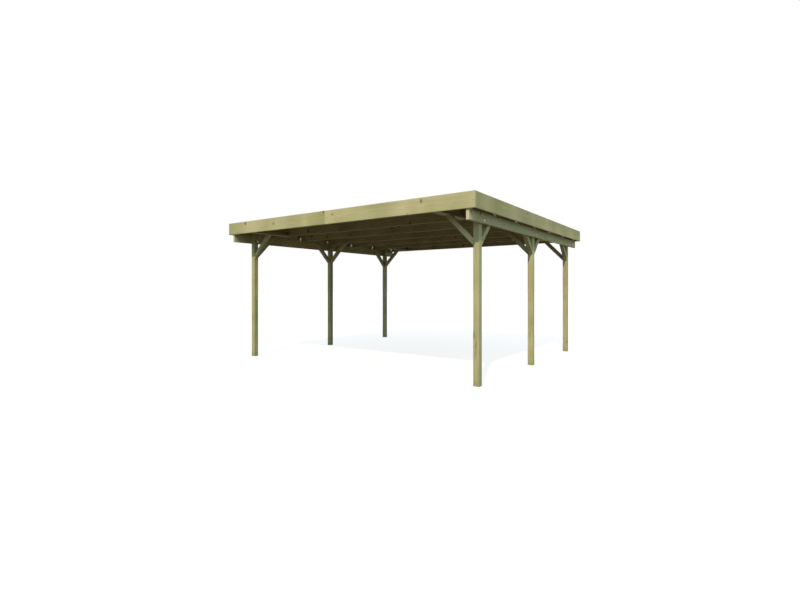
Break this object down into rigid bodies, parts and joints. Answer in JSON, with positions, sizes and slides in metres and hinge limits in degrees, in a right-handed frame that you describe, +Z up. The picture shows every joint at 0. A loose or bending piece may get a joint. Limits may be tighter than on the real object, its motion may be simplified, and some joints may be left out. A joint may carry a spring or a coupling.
{
  "type": "flat-roofed timber carport",
  "caption": "Open timber carport with a flat roof behind deep fascia boards, on square posts with beams and knee braces along both sides.",
  "frame": {"origin": "on the ground, in the middle of the roof's outline", "axes": "+X across the front towards the right-hand posts, +Y from front to back, +Z up"},
  "size_m": [5.244, 5.196, 2.601],
  "materials": {
    "post_timber": "planed pressure-treated pine, green tint",
    "frame_timber": "planed pressure-treated pine, green tint",
    "brace_timber": "planed pressure-treated pine, green tint",
    "fascia_timber": "planed pressure-treated pine, green tint",
    "roof_timber": "sawn roof boards",
    "roof_felt": "mineral-faced roofing felt",
    "galvanised_steel": "galvanised"
  },
  "bodies": {
    "root": {"beam_brace_back_left": "brace_timber", "beam_brace_back_right": "brace_timber", "beam_brace_front_left": "brace_timber", "beam_brace_front_right": "brace_timber", "beam_brace_middle_back_left": "brace_timber", "beam_brace_middle_back_right": "brace_timber", "beam_brace_middle_front_left": "brace_timber", "beam_brace_middle_front_right": "brace_timber", "beam_left": "frame_timber", "beam_right": "frame_timber", "brackets_left": "galvanised_steel", "brackets_right": "galvanised_steel", "cross_brace_back_left": "brace_timber", "cross_brace_back_right": "brace_timber", "cross_brace_front_left": "brace_timber", "cross_brace_front_right": "brace_timber", "cross_brace_middle_left": "brace_timber", "cross_brace_middle_right": "brace_timber", "fascia_back_left": "fascia_timber", "fascia_back_right": "fascia_timber", "fascia_front_left": "fascia_timber", "fascia_front_right": "fascia_timber", "fascia_left": "fascia_timber", "fascia_right": "fascia_timber", "post_back_left": "post_timber", "post_back_right": "post_timber", "post_front_left": "post_timber", "post_front_right": "post_timber", "post_middle_left": "post_timber", "post_middle_right": "post_timber", "rafter_1": "frame_timber", "rafter_2": "frame_timber", "rafter_3": "frame_timber", "rafter_4": "frame_timber", "rafter_5": "frame_timber", "rafter_6": "frame_timber", "rafter_7": "frame_timber", "roof_boards": "roof_timber", "roof_felt": "roof_felt", "trimmer_back_left": "frame_timber", "trimmer_back_right": "frame_timber", "trimmer_front_left": "frame_timber", "trimmer_front_right": "frame_timber"}
  },
  "joints": []
}
